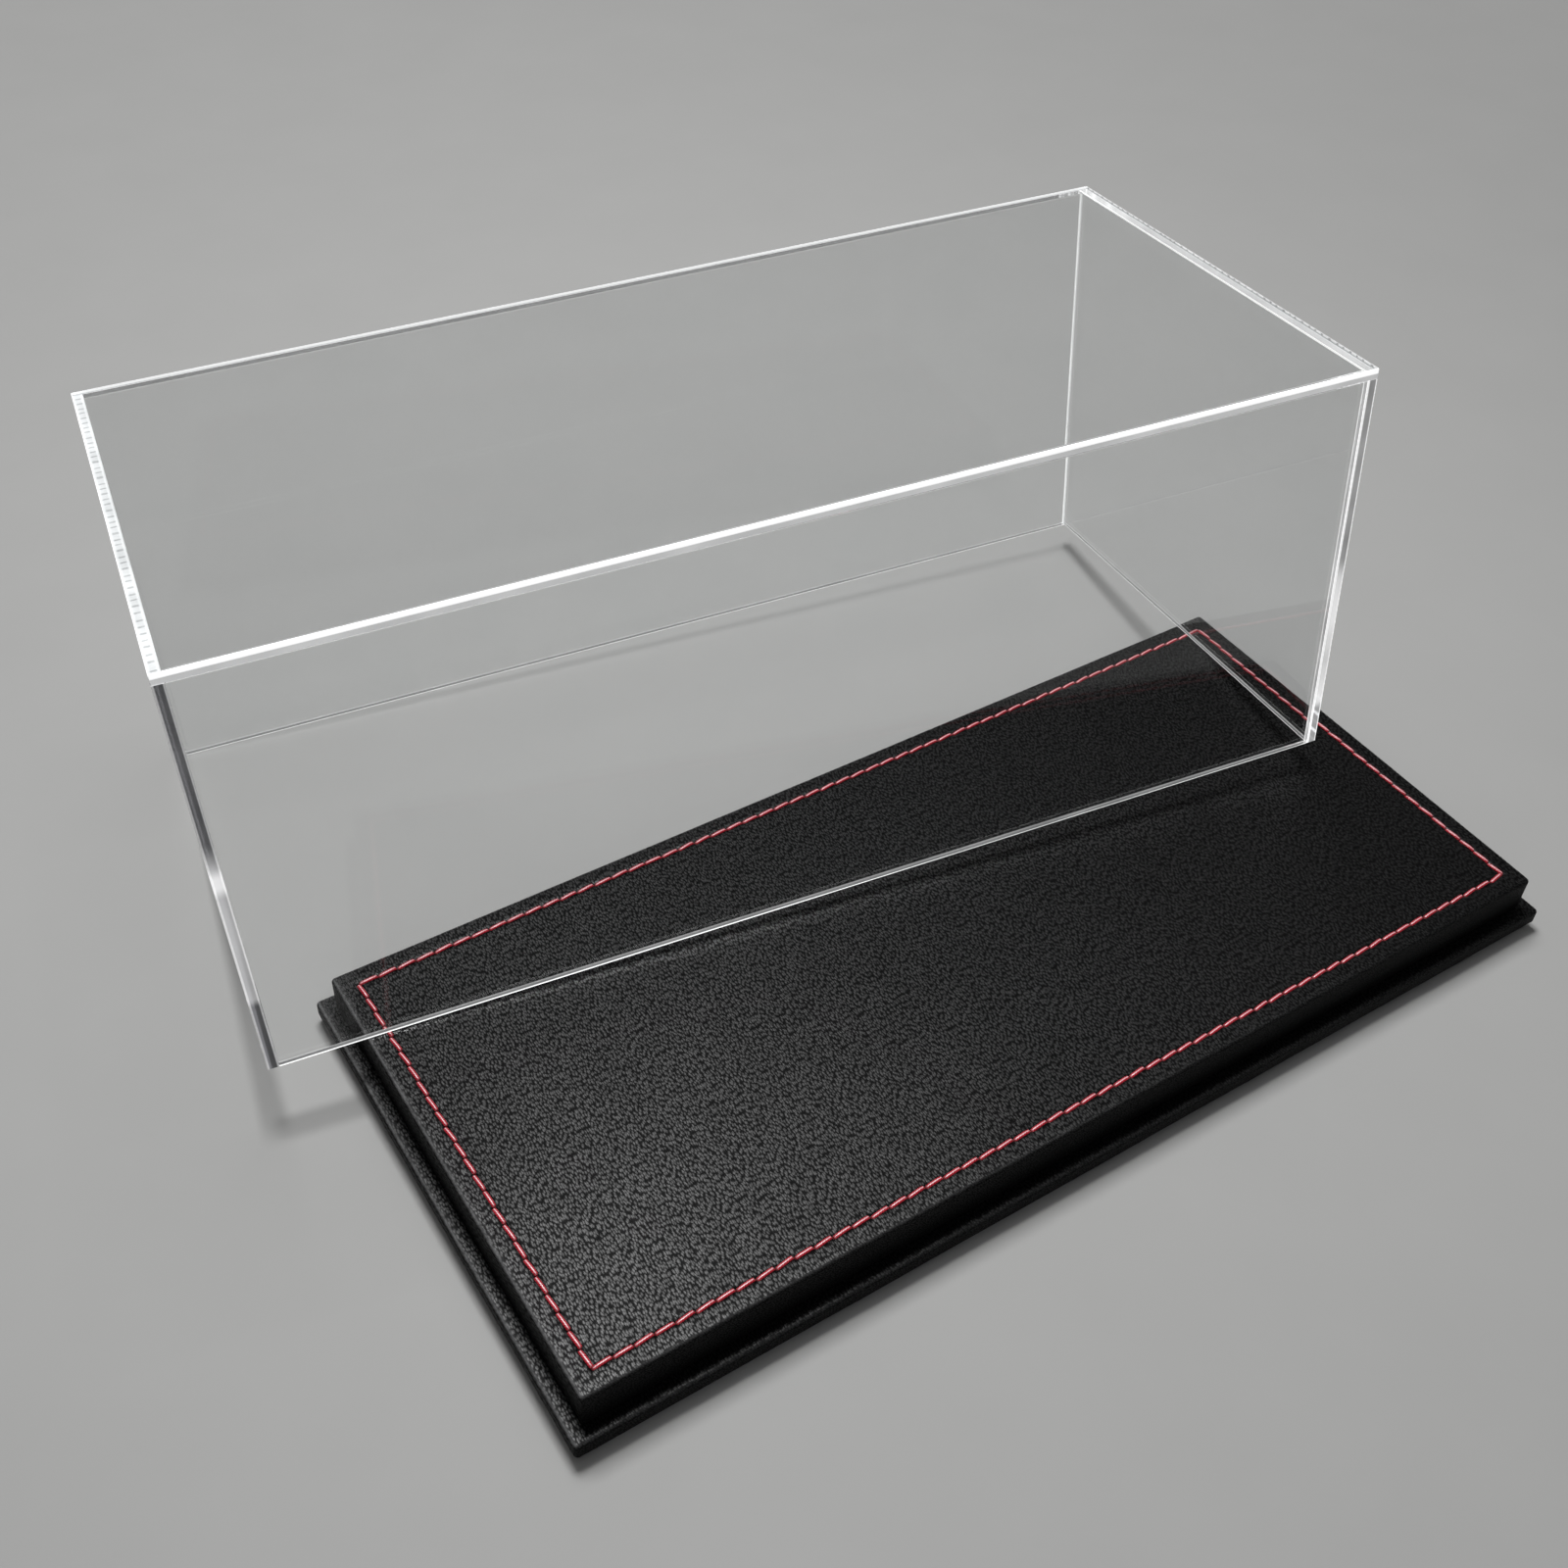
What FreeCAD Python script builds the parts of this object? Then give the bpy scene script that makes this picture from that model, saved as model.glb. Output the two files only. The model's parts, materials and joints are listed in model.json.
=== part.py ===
import FreeCAD, Part
import math
import os

# Display case: a clear five-panel cover lifted off a two-tier plinth and leant on its back left corner.
# Millimetres. The origin is on the surface that it stands on, under the middle of the plinth.
# +X runs along the plinth to the right, the front is -Y, and +Z is up.

Vector = FreeCAD.Vector
up = Vector(0, 0, 1)

# Plinth, measured outside its leather
tier_length = 316.0
tier_width = 145.0
upper_board_thickness = 10.0
lower_board_thickness = 3.5
board_corner_radius = 0.4
board_top_radius = 0.25
board_bottom_radius = 0.15

# Leather wrap, with its edges turned in and glued under each board
leather = 0.8
glue_line = 0.05
turn_in = 15.0

# Decorative lockstitch near the edge of the upper tier
stitch_inset = 5.9
stitch_pitch = 5.55
stitch_gap = 0.6
stitch_slant = 5.5
thread_width = 1.0
thread_proud = 0.35
crest_width = 0.5
stitch_taper = 0.6
bobbin_width = 0.8
bobbin_height = 0.35
bobbin_clearance = 0.1

# Screws that hold the two tiers together from below
screw_end_inset = 46.0
screw_side_inset = 34.0
screw_length = 12.0
screw_radius = 1.75
screw_head_radius = 3.3
screw_point_length = 2.0
screw_clearance = 0.1
drive_slot_width = 0.9
drive_slot_length = 3.6
drive_slot_depth = 1.0

# Underside: felt sheet between the turned-in edges, and stick-on rubber feet
felt_edge_gap = 0.5
foot_height = 2.4
foot_radius = 5.0
foot_edge_radius = 0.8
foot_inset = 9.0

# Cover, bonded from flat sheet: its play around the upper tier, and the ledge left outside its rim
acrylic = 3.0
cover_play = 1.0
ledge_margin = 0.25
cover_height = 124.5
arris = 0.3

# How the open cover leans: turn on the plinth, and where its front and right walls bear on it
lean_turn = -9.5
lean_front_bearing = 24.2
lean_right_bearing = 13.0
lean_gap = 0.3
settling_rounds = 12

skin = leather + glue_line
ledge = cover_play + acrylic + ledge_margin
base_length = tier_length + 2 * ledge
base_width = tier_width + 2 * ledge
ledge_height = foot_height + lower_board_thickness + 2 * skin
tier_top = ledge_height + upper_board_thickness + 2 * skin
cover_length = tier_length + 2 * (cover_play + acrylic)
cover_width = tier_width + 2 * (cover_play + acrylic)
wall_height = cover_height - acrylic


def box(length, width, bottom, top, x=0.0, y=0.0):
    """Upright box centred on x, y."""
    corner = Vector(x - length / 2, y - width / 2, bottom)
    return Part.makeBox(length, width, top - bottom, corner)


def upright_edges(shape):
    return [e for e in shape.Edges if abs(abs(e.tangentAt(e.FirstParameter).z) - 1) < 1e-6]


def level_edges(shape, height):
    return [e for e in shape.Edges if all(abs(v.Z - height) < 1e-6 for v in e.Vertexes)]


def rounded_slab(length, width, bottom, top, inset=0.0):
    """Slab with rounded corners and edges, set in all over from the outside of its leather."""
    low, high = bottom + inset, top - inset
    cover = skin - inset
    slab = box(length - 2 * inset, width - 2 * inset, low, high)
    slab = slab.makeFillet(board_corner_radius + cover, upright_edges(slab))
    slab = slab.makeFillet(board_top_radius + cover, level_edges(slab, high))
    return slab.makeFillet(board_bottom_radius + cover, level_edges(slab, low))


def leather_wrap(length, width, bottom, top):
    """Sheet over the top and sides of a board, open below inside the turned-in edges."""
    outside = rounded_slab(length, width, bottom, top)
    inside = rounded_slab(length, width, bottom, top, leather)
    window = box(length - 2 * turn_in, width - 2 * turn_in, bottom, bottom + leather)
    return outside.cut([inside, window])


def board(length, width, bottom, top):
    return rounded_slab(length, width, bottom, top, skin)


def screw_places():
    x = tier_length / 2 - screw_end_inset
    y = tier_width / 2 - screw_side_inset
    return [Vector(sx * x, sy * y, 0) for sx in (-1, 1) for sy in (-1, 1)]


def round_bars(places, radius, bottom, top):
    bars = [Part.makeCylinder(radius, top - bottom, p + up * bottom) for p in places]
    return Part.makeCompound(bars)


screw_base = foot_height + skin
screw_tip = screw_base + screw_length
head_height = screw_head_radius - screw_radius


def countersink(place, clearance=0.0):
    """Cone that narrows upwards from the underside of the lower board to the screw's shank."""
    wide = screw_head_radius + clearance
    narrow = screw_radius + clearance
    return Part.makeCone(wide, narrow, head_height, place + up * screw_base)


def screw(place):
    shank_top = screw_tip - screw_point_length
    shank = Part.makeCylinder(screw_radius, shank_top - screw_base, place + up * screw_base)
    point = Part.makeCone(screw_radius, 0, screw_point_length, place + up * shank_top)
    body = countersink(place).fuse([shank, point]).removeSplitter()
    slot_top = screw_base + drive_slot_depth
    slots = [
        box(drive_slot_length, drive_slot_width, screw_base, slot_top, place.x, place.y),
        box(drive_slot_width, drive_slot_length, screw_base, slot_top, place.x, place.y),
    ]
    return body.cut(slots)


def lower_tier():
    holes = round_bars(screw_places(), screw_radius + screw_clearance, screw_base, ledge_height)
    sinks = Part.makeCompound([countersink(p, screw_clearance) for p in screw_places()])
    wrap = leather_wrap(base_length, base_width, foot_height, ledge_height)
    core = board(base_length, base_width, foot_height, ledge_height)
    return core.cut([holes, sinks]), wrap.cut(holes)


stitch_line_x = tier_length / 2 - stitch_inset
stitch_line_y = tier_width / 2 - stitch_inset


def stitch_frame(width, bottom, top):
    """Flat rectangular ring under the line of stitches."""
    outer = box(2 * stitch_line_x + width, 2 * stitch_line_y + width, bottom, top)
    inner = box(2 * stitch_line_x - width, 2 * stitch_line_y - width, bottom, top)
    return outer.cut(inner)


def upper_tier():
    board_top = tier_top - skin
    wrap = leather_wrap(tier_length, tier_width, ledge_height, tier_top)
    groove_top = board_top + bobbin_height + bobbin_clearance
    groove = stitch_frame(bobbin_width + 2 * bobbin_clearance, board_top, groove_top)
    bobbin = stitch_frame(bobbin_width, board_top, board_top + bobbin_height)
    core = board(tier_length, tier_width, ledge_height, tier_top)
    pilots = round_bars(screw_places(), screw_radius + screw_clearance, ledge_height, screw_tip)
    return core.cut(pilots), wrap.cut(groove), bobbin


def stitch_run(start, end):
    """Slanted stitches evenly spaced between two needle holes, each flat below with a narrower crest."""
    count = round((end - start).Length / stitch_pitch)
    step = (end - start) / count
    half = (step.Length - stitch_gap) / 2
    foot_wide = thread_width / 2
    crest = half - stitch_taper
    stitch = Part.makeWedge(
        -half, 0, -foot_wide, -crest_width / 2, -crest,
        half, thread_proud, foot_wide, crest_width / 2, crest,
    )
    stitch.rotate(Vector(), Vector(1, 0, 0), 90)
    stitch.translate(up * tier_top)
    stitch.rotate(Vector(), up, math.degrees(math.atan2(step.y, step.x)) + stitch_slant)
    return [stitch.translated(start + step * (i + 0.5)) for i in range(count)]


def needle_thread():
    sides = ((-1, -1), (1, -1), (1, 1), (-1, 1))
    holes = [Vector(sx * stitch_line_x, sy * stitch_line_y, 0) for sx, sy in sides]
    stitches = []
    for start, end in zip(holes, holes[1:] + holes[:1]):
        stitches += stitch_run(start, end)
    return Part.makeCompound(stitches)


def felt():
    inset = turn_in + felt_edge_gap
    return box(base_length - 2 * inset, base_width - 2 * inset, foot_height, foot_height + leather)


def foot(side_x, side_y):
    x = side_x * (base_length / 2 - foot_inset)
    y = side_y * (base_width / 2 - foot_inset)
    pad = Part.makeCylinder(foot_radius, foot_height, Vector(x, y, 0))
    return pad.makeFillet(foot_edge_radius, level_edges(pad, 0))


def cover_panels():
    """Panels of the closed cover: the top covers all four walls, and the ends run the full depth."""
    rim = ledge_height
    shoulder = rim + wall_height
    crown = shoulder + acrylic
    end_x = (cover_length - acrylic) / 2
    side_y = (cover_width - acrylic) / 2
    top = box(cover_length, cover_width, shoulder, crown)
    top = top.makeChamfer(arris, level_edges(top, crown))
    panels = {"cover_top": top}
    for name, side in (("left", -1), ("right", 1)):
        wall = box(acrylic, cover_width, rim, shoulder, side * end_x)
        outer = [e for e in upright_edges(wall) if e.Vertexes[0].X * side > end_x]
        panels["cover_" + name] = wall.makeChamfer(arris, outer + level_edges(wall, rim))
    for name, side in (("front", -1), ("back", 1)):
        wall = box(cover_length - 2 * acrylic, acrylic, rim, shoulder, 0, side * side_y)
        long_edges = [e for e in level_edges(wall, rim) if e.Length > acrylic * 2]
        panels["cover_" + name] = wall.makeChamfer(arris, long_edges)
    return panels


def lean():
    """Placement that carries the closed cover to where it leans.

    The rim's plane passes through three points: the front wall on the left row of stitches, the right
    wall on the plinth's back edge, and the back left corner on the floor. The turn about that plane is
    given, so the plane is found by a few rounds of setting the walls on their points.
    """
    half_x = cover_length / 2
    half_y = cover_width / 2
    back = tier_width / 2
    front_point = Vector(-stitch_line_x, back - lean_front_bearing, tier_top + thread_proud + lean_gap)
    brink = back - board_top_radius - skin
    right_point = Vector(tier_length / 2 - lean_right_bearing, brink, tier_top + lean_gap)
    turn = math.radians(lean_turn)
    heading = Vector(math.cos(turn), math.sin(turn), 0)
    normal = up
    for settling in range(settling_rounds):
        along = heading - normal * heading.dot(normal)
        along.normalize()
        across = normal.cross(along)
        centre = (
            along * (right_point.dot(along) - half_x + acrylic)
            + across * (front_point.dot(across) + half_y - acrylic)
            + normal * front_point.dot(normal)
        )
        corner = centre - along * half_x + across * half_y
        floor_point = Vector(corner.x, corner.y, lean_gap)
        normal = (right_point - front_point).cross(floor_point - front_point)
        normal.normalize()
    turned = FreeCAD.Rotation(along, across, normal, "ZXY")
    return FreeCAD.Placement(centre, turned) * FreeCAD.Placement(up * -ledge_height, FreeCAD.Rotation())


parts = {}
parts["lower_board"], parts["lower_leather"] = lower_tier()
parts["upper_board"], parts["upper_leather"], parts["bobbin_thread"] = upper_tier()
parts["needle_thread"] = needle_thread()
parts["tier_screws"] = Part.makeCompound([screw(p) for p in screw_places()])
parts["underside_felt"] = felt()
for row, side_y in (("front", -1), ("back", 1)):
    for end, side_x in (("left", -1), ("right", 1)):
        parts["foot_" + row + "_" + end] = foot(side_x, side_y)

leaning = lean()
for name, panel in cover_panels().items():
    parts[name] = panel.transformed(leaning.toMatrix(), True)

os.makedirs("parts", exist_ok=True)
for name, shape in parts.items():
    shape.exportStep("parts/" + name + ".step")
    print(name, len(shape.Solids), "solids", round(shape.Volume / 1000, 3), "cm3", shape.isValid())
print("lean", leaning.Base, leaning.Rotation.getYawPitchRoll())
print("ledge", ledge_height, "top", tier_top)
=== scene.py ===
import json
import math
import bpy
import numpy as np
from mathutils import Matrix, Vector

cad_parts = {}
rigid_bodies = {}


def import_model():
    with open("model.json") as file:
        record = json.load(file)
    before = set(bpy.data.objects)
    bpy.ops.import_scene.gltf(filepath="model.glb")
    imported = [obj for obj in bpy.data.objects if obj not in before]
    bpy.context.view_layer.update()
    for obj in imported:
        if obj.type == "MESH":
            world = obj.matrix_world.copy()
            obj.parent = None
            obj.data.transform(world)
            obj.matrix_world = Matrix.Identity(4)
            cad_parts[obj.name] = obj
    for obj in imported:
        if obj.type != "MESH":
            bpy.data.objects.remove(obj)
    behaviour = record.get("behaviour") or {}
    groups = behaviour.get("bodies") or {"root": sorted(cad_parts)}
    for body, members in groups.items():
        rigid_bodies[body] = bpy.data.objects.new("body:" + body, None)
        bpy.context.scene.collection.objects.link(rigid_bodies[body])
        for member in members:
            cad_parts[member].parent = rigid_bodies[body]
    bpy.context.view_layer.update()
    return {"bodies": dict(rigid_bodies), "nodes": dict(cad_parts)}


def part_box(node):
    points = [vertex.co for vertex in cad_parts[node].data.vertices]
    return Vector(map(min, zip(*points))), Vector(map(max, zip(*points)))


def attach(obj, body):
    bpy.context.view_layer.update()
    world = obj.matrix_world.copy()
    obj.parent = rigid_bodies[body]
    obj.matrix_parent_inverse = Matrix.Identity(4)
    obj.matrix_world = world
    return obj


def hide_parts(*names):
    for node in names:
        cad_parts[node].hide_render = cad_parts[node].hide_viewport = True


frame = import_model()
mm = 0.001
print("frame loaded:", len(frame["nodes"]), "nodes on", sorted(frame["bodies"]))


# Shader maths

class Wire:  # a node's output socket, so that shader maths reads as plain sums
    def __init__(self, tree, socket=None):
        self.tree = tree
        self.socket = socket

    def add(self, kind, settings=None, sockets=None):  # any node: settings, then values or links
        node = self.tree.nodes.new("ShaderNode" + kind)
        for name, value in (settings or {}).items():
            setattr(node, name, value)
        for name, value in (sockets or {}).items():
            if isinstance(value, Wire):
                self.tree.links.new(value.socket, node.inputs[name])
            else:
                node.inputs[name].default_value = value
        return Wire(self.tree, node.outputs[0] if node.outputs else None)

    def __getitem__(self, name):  # another output of the same node
        return Wire(self.tree, self.socket.node.outputs[name])

    def maths(self, operation, first, second=0.0):
        return self.add("Math", {"operation": operation}, {0: first, 1: second})

    def __add__(self, other):
        return self.maths("ADD", self, other)

    def __sub__(self, other):
        return self.maths("SUBTRACT", self, other)

    def __rsub__(self, other):
        return self.maths("SUBTRACT", other, self)

    def __mul__(self, other):
        return self.maths("MULTIPLY", self, other)

    def __pow__(self, other):
        return self.maths("POWER", self, other)

    __radd__ = __add__
    __rmul__ = __mul__

    def size(self):
        return self.maths("ABSOLUTE", self)

    def wave(self):  # from 0 to 1 and back once in every unit
        return self.maths("SINE", self * (2 * math.pi)) * 0.5 + 0.5

    def between(self, low, high):  # 0 below low, 1 above high, eased between
        settings = {"interpolation_type": "SMOOTHSTEP"}
        return self.add("MapRange", settings, {"Value": self, "From Min": low, "From Max": high})

    def tint(self, low, high):  # a colour from low to high by this value, each of them fixed or wired
        low, high = (c if isinstance(c, Wire) else (*c, 1) for c in (low, high))
        return self.add("Mix", {"data_type": "RGBA"}, {0: self, 6: low, 7: high})[2]

    def grey(self):  # this value as a shade, from black at 0 to white at 1
        return self.tint((0.0, 0.0, 0.0), (1.0, 1.0, 1.0))

    def stretched(self, scale):  # this vector times a vector
        return self.add("VectorMath", {"operation": "MULTIPLY"}, {0: self, 1: scale})

    def strayed(self, by, reach):  # this vector moved by a colour, up to that reach
        settings = {"operation": "MULTIPLY_ADD"}
        return self.add("VectorMath", settings, {0: by, 1: (reach, reach, reach), 2: self})

    def noise(self, scale, detail=2.0, roughness=0.5):
        sockets = {"Vector": self, "Scale": scale, "Detail": detail, "Roughness": roughness}
        return self.add("TexNoise", None, sockets)

    def cells(self, scale, feature="F1", stray=1.0, space="3D"):
        sockets = {"Vector": self, "Scale": scale, "Randomness": stray}
        return self.add("TexVoronoi", {"voronoi_dimensions": space, "feature": feature}, sockets)

    def bump(self, depth, strength):  # this value as a height of that depth in millimetres
        return self.add("Bump", None, {"Height": self, "Distance": depth * mm, "Strength": strength})


def newFinish(name, build):  # a material from a function that returns its shader
    material = bpy.data.materials.new(name)
    material.use_nodes = True
    material.node_tree.nodes.clear()
    wire = Wire(material.node_tree)
    wire.add("OutputMaterial", None, {"Surface": build(wire)})
    return material


def inMillimetres(wire):
    return wire.add("TexCoord")["Object"].stretched((1 / mm, 1 / mm, 1 / mm))


def pointValue(wire, name):
    return wire.add("Attribute", {"attribute_name": name})["Fac"]


# Meshes

def gridFaces(rows, columns):
    # quads between neighbouring rows of a grid whose last column joins its first
    row, column = np.mgrid[0:rows - 1, 0:columns]
    onward = (column + 1) % columns
    corners = ((row, column), (row, onward), (row + 1, onward), (row + 1, column))
    return np.stack([r * columns + c for r, c in corners], axis=-1).reshape(-1, 4)


def welded(points, quads, tolerance=1e-7):
    # points that coincide become one: a quad that lost a corner by it is a triangle,
    # and one that lost more is dropped
    keys = np.round(points / tolerance).astype(np.int64)
    kept, back = np.unique(keys, axis=0, return_index=True, return_inverse=True)[1:]
    quads = back.reshape(-1)[quads]
    same = quads == np.roll(quads, -1, axis=1)
    lost = same.sum(axis=1)
    triangles = quads[lost == 1][~same[lost == 1]].reshape(-1, 3)
    return kept, quads[lost == 0].tolist() + triangles.tolist()


def newPiece(name, points, faces, finishes, smooth=True):
    mesh = bpy.data.meshes.new(name)
    mesh.from_pydata(np.asarray(points, float).tolist(), [], faces)
    mesh.polygons.foreach_set("use_smooth", np.full(len(mesh.polygons), smooth))
    for finish in finishes:
        mesh.materials.append(finish)
    mesh.update()
    piece = bpy.data.objects.new(name, mesh)
    bpy.context.scene.collection.objects.link(piece)
    return piece


def setPointValues(piece, name, values):
    spots = piece.data.attributes.new(name, "FLOAT", "POINT")
    spots.data.foreach_set("value", np.asarray(values, np.float32))


def setLay(piece, corners):  # the map "lay", one place for each corner of each face
    layer = piece.data.uv_layers.new(name="lay")
    layer.uv.foreach_set("vector", np.asarray(corners, np.float32).ravel())


def settle(piece, body, slot, *nodes):
    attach(piece, body)
    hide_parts(*nodes)
    print("made", piece.name, "with", len(piece.data.polygons), "faces")


def boxInMillimetres(node):
    return [np.array(corner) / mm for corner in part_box(node)]


def roundLoop(half, radius, sideX, sideY, arcSteps):
    # once round a rounded rectangle, seen from above against the clock from the front left:
    # the points that its corner arcs turn about, slid along the sides, and the outward normals
    core = np.asarray(half) - radius
    turn = np.linspace(0, math.pi / 2, arcSteps + 1)[1:-1]
    sides = (
        (sideX, (1, 0), (0, -core[1]), -math.pi / 2),
        (sideY, (0, 1), (core[0], 0), 0.0),
        (sideX, (-1, 0), (0, core[1]), math.pi / 2),
        (sideY, (0, -1), (-core[0], 0), math.pi),
    )
    places, angles = [], []
    for steps, along, offset, facing in sides:
        line = np.outer(steps, along) + offset
        places += [line, np.repeat(line[-1:], len(turn), axis=0)]
        angles += [np.full(len(steps), facing), facing + turn]
    angle = np.concatenate(angles)
    return np.concatenate(places), np.stack([np.cos(angle), np.sin(angle)], axis=1)


def carried(half, radius, loop, insets, heights):
    # a profile of insets and heights carried round a loop: each row is the loop set in by its inset,
    # first by shrinking the corner arcs, then by drawing the straight sides in
    places, normals = loop
    deep = np.maximum(insets, radius)[:, None, None]
    limit = np.asarray(half) - deep
    flat = np.clip(places, -limit, limit) + np.maximum(radius - insets, 0)[:, None, None] * normals
    return np.dstack([flat, np.broadcast_to(heights[:, None], flat.shape[:2])])


def unitRound(sides):
    # points spaced evenly round a circle of radius one
    angle = np.linspace(0, 2 * math.pi, sides, endpoint=False)
    return np.stack([np.cos(angle), np.sin(angle)], axis=1)


def arc(radius, start, end, steps):
    # inset and height along the round of an edge, which faces straight out at 0 degrees and up at 90
    angle = np.radians(np.linspace(start, end, steps + 1))
    return radius * (1 - np.cos(angle)), radius * (np.sin(angle) - 1)


# Camera, floor and light

studio = {
    "camera": (-240.13, -259.53, 409.97),
    "target": (-10.93, 73.06, 19.3),
    "roll": 2.997,
    "lens": 42.378,
    "floorMiddle": 200.0,  # radius of the one face in the middle
    "floorRadius": 7000.0,
    "floorRings": 8,
    "floorSides": 96,
    "floorPale": (0.405, 0.405, 0.40),
    "floorDim": (0.38, 0.38, 0.375),
    "floorDusk": (420.0, 1900.0),  # distances over which the lamps' light fades
    "keyPlace": (60.0, 375.0, 1150.0),
    "keySize": (420.0, 400.0),
    "keyPower": 13.0,
    "fillPlace": (-700.0, -900.0, 650.0),
    "fillSize": (700.0, 500.0),
    "fillPower": 1.5,
    "airPlace": (0.0, 0.0, 1700.0),
    "airSize": (2200.0, 2200.0),
    "airPower": 7.0,
    "horizon": (0.37, 0.37, 0.365),  # seen behind the floor and in the panes
    "horizonFade": (0.3, 0.55),      # it is dark above that rise
}


def softLight(name, aim):
    place, size, power = (studio[name + part] for part in ("Place", "Size", "Power"))
    lamp = bpy.data.lights.new(name, "AREA")
    lamp.cycles.use_multiple_importance_sampling = False
    lamp.shape = "RECTANGLE"
    lamp.size, lamp.size_y = size[0] * mm, size[1] * mm
    lamp.energy = power
    light = bpy.data.objects.new(name, lamp)
    light.location = Vector(place) * mm
    light.rotation_euler = (aim - light.location).to_track_quat("-Z", "Y").to_euler()
    light.visible_glossy = name != "air"  # the overhead light has no reflections
    bpy.context.scene.collection.objects.link(light)


def floorShader(wire):  # pale all the way out: beyond the lamps' reach it has a little light of its own
    place = inMillimetres(wire)
    pale = place.noise(0.02, 4.0, 0.6).tint(studio["floorDim"], studio["floorPale"])
    away = wire.add("VectorMath", {"operation": "LENGTH"}, {0: place})["Value"]
    return wire.add("BsdfPrincipled", None, {
        "Base Color": pale,
        "Roughness": 0.62,
        "Specular IOR Level": 0.25,
        "Emission Color": away.between(*studio["floorDusk"]).tint((0.0, 0.0, 0.0), pale),
        "Emission Strength": 0.9,
    })


def setStage():
    scene = bpy.context.scene
    aim = Vector(studio["target"]) * mm
    view = bpy.data.cameras.new("view")
    view.lens = studio["lens"]
    view.sensor_width = 36.0
    camera = bpy.data.objects.new("view", view)
    place = Vector(studio["camera"]) * mm
    roll = Matrix.Rotation(math.radians(studio["roll"]), 3, "Z")
    turn = (aim - place).to_track_quat("-Z", "Y").to_matrix() @ roll
    camera.matrix_world = Matrix.Translation(place) @ turn.to_4x4()
    scene.collection.objects.link(camera)
    scene.camera = camera

    # the floor: rings of points round the middle, closed there by one face
    rings, sides = studio["floorRings"], studio["floorSides"]
    reach = np.geomspace(studio["floorMiddle"], studio["floorRadius"], rings)
    flat = reach[:, None, None] * mm * unitRound(sides)
    points = np.dstack([flat, np.zeros(flat.shape[:2])]).reshape(-1, 3)
    faces = gridFaces(rings, sides)[:, ::-1].tolist() + [list(range(sides))]
    newPiece("floor", points, faces, [newFinish("paleFloor", floorShader)])

    for name in ("key", "fill", "air"):
        softLight(name, aim)
    world = bpy.data.worlds.new("studioAir")
    scene.world = world
    world.use_nodes = True
    world.node_tree.nodes.clear()
    sky = Wire(world.node_tree)
    rise = sky.add("SeparateXYZ", None, {0: sky.add("TexCoord")["Generated"]})["Z"]
    glow = rise.between(*studio["horizonFade"]).tint(studio["horizon"], (0.0, 0.0, 0.0))
    air = sky.add("Background", None, {"Color": glow, "Strength": 1.0})
    sky.add("OutputWorld", None, {"Surface": air})
    world.cycles_visibility.diffuse = False
    world.cycles.sampling_method = "NONE"

    scene.view_settings.view_transform = "Standard"
    scene.cycles.max_bounces = 24
    scene.cycles.transmission_bounces = 24
    scene.cycles.transparent_max_bounces = 40
    scene.cycles.caustics_reflective = False
    scene.cycles.caustics_refractive = False
    scene.cycles.sample_clamp_indirect = 6.0
    scene.cycles.blur_glossy = 0.0


setStage()
print("stage set")


# Leather wraps

leather = {
    "thickness": 0.8,
    "turnIn": 15.0,
    "cornerRadius": 1.25,
    "cornerSteps": 6,
    "topRadius": 1.1,
    "topSteps": 7,
    "bottomRadius": 1.0,
    "bottomSteps": 4,
    "underRows": (11.0, 6.0),  # rows of points below, by their inset
    "edgeRows": (2.6, 4.6),    # and above, near an edge with no seam
    "topRows": (10.5, 15.0, 24.0, 38.0, 55.0),
    "columns": (3, 3),         # columns to a stitch's length, and from the seam to a corner
    "sideSway": 0.04,          # how far the sides stray from flat
    "sideRipple": 3.0,         # their waves are that much shorter
    "topSway": 0.03,
    "mitreDepth": 0.3,         # the cut where two turned-in edges meet
    "mitreWidth": 0.45,
    "mitreInset": 3.0,         # where it begins
    "mitreShade": 0.7,
    "grain": 1.75,             # pebbles to a millimetre
    "grainStray": 0.88,        # how far from a regular pattern
    "grainStretch": 0.42,      # they are longer from front to back
    "grainSlant": (0.6, 0.8),  # of the pattern down the sides
    "grainDepth": 0.04,
    "dark": (0.0005, 0.0005, 0.0006),
    "pale": (0.0055, 0.0056, 0.0058),
    # painted shade inside the needle holes and the mitre cuts
    "hole": (0.002, 0.002, 0.002),
    # colour of a rubbed edge: lighter from wear, and partly a painted highlight
    "worn": (0.15, 0.15, 0.152),
    "wornAngle": 66.0,         # degrees up the round of an edge where its wear and painted highlight are strongest
    "wornSpread": 20.0,
    "wornElsewhere": 0.16,     # share of the left edges' wear and painted highlight on the others, which fades to the right
    "edgeGloss": 0.5,          # extra gloss of a rubbed edge
    "sideGloss": 0.3,          # gloss of the sides, as a share of the top's
}
seam = {
    "inset": 5.9,
    "pitch": 5.55,
    "slant": 5.5,
    "rows": (2.2, 3.6, 4.5, 5.0, 5.3, 5.55, 5.75, 5.9, 6.05, 6.25, 6.5, 6.8, 7.3, 8.2),
    "columns": (10, 6),        # as for the plain leather
    "reach": 12.0,             # the seam shapes the leather out to that inset
    "grooveDepth": 0.2,
    "grooveWidth": 0.6,
    "holeDepth": 0.34,
    "holeWidth": 0.36,
    "holeStretch": 1.6,        # a hole is longer across the seam
    "bulge": 0.08,
    "bulgeAway": 1.5,          # from the stitch line
    "bulgeWidth": 0.7,
    "bobbinGroove": 0.4,       # room for the under thread: its depth and half its width
    "bobbinHalf": 0.5,
}


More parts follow.
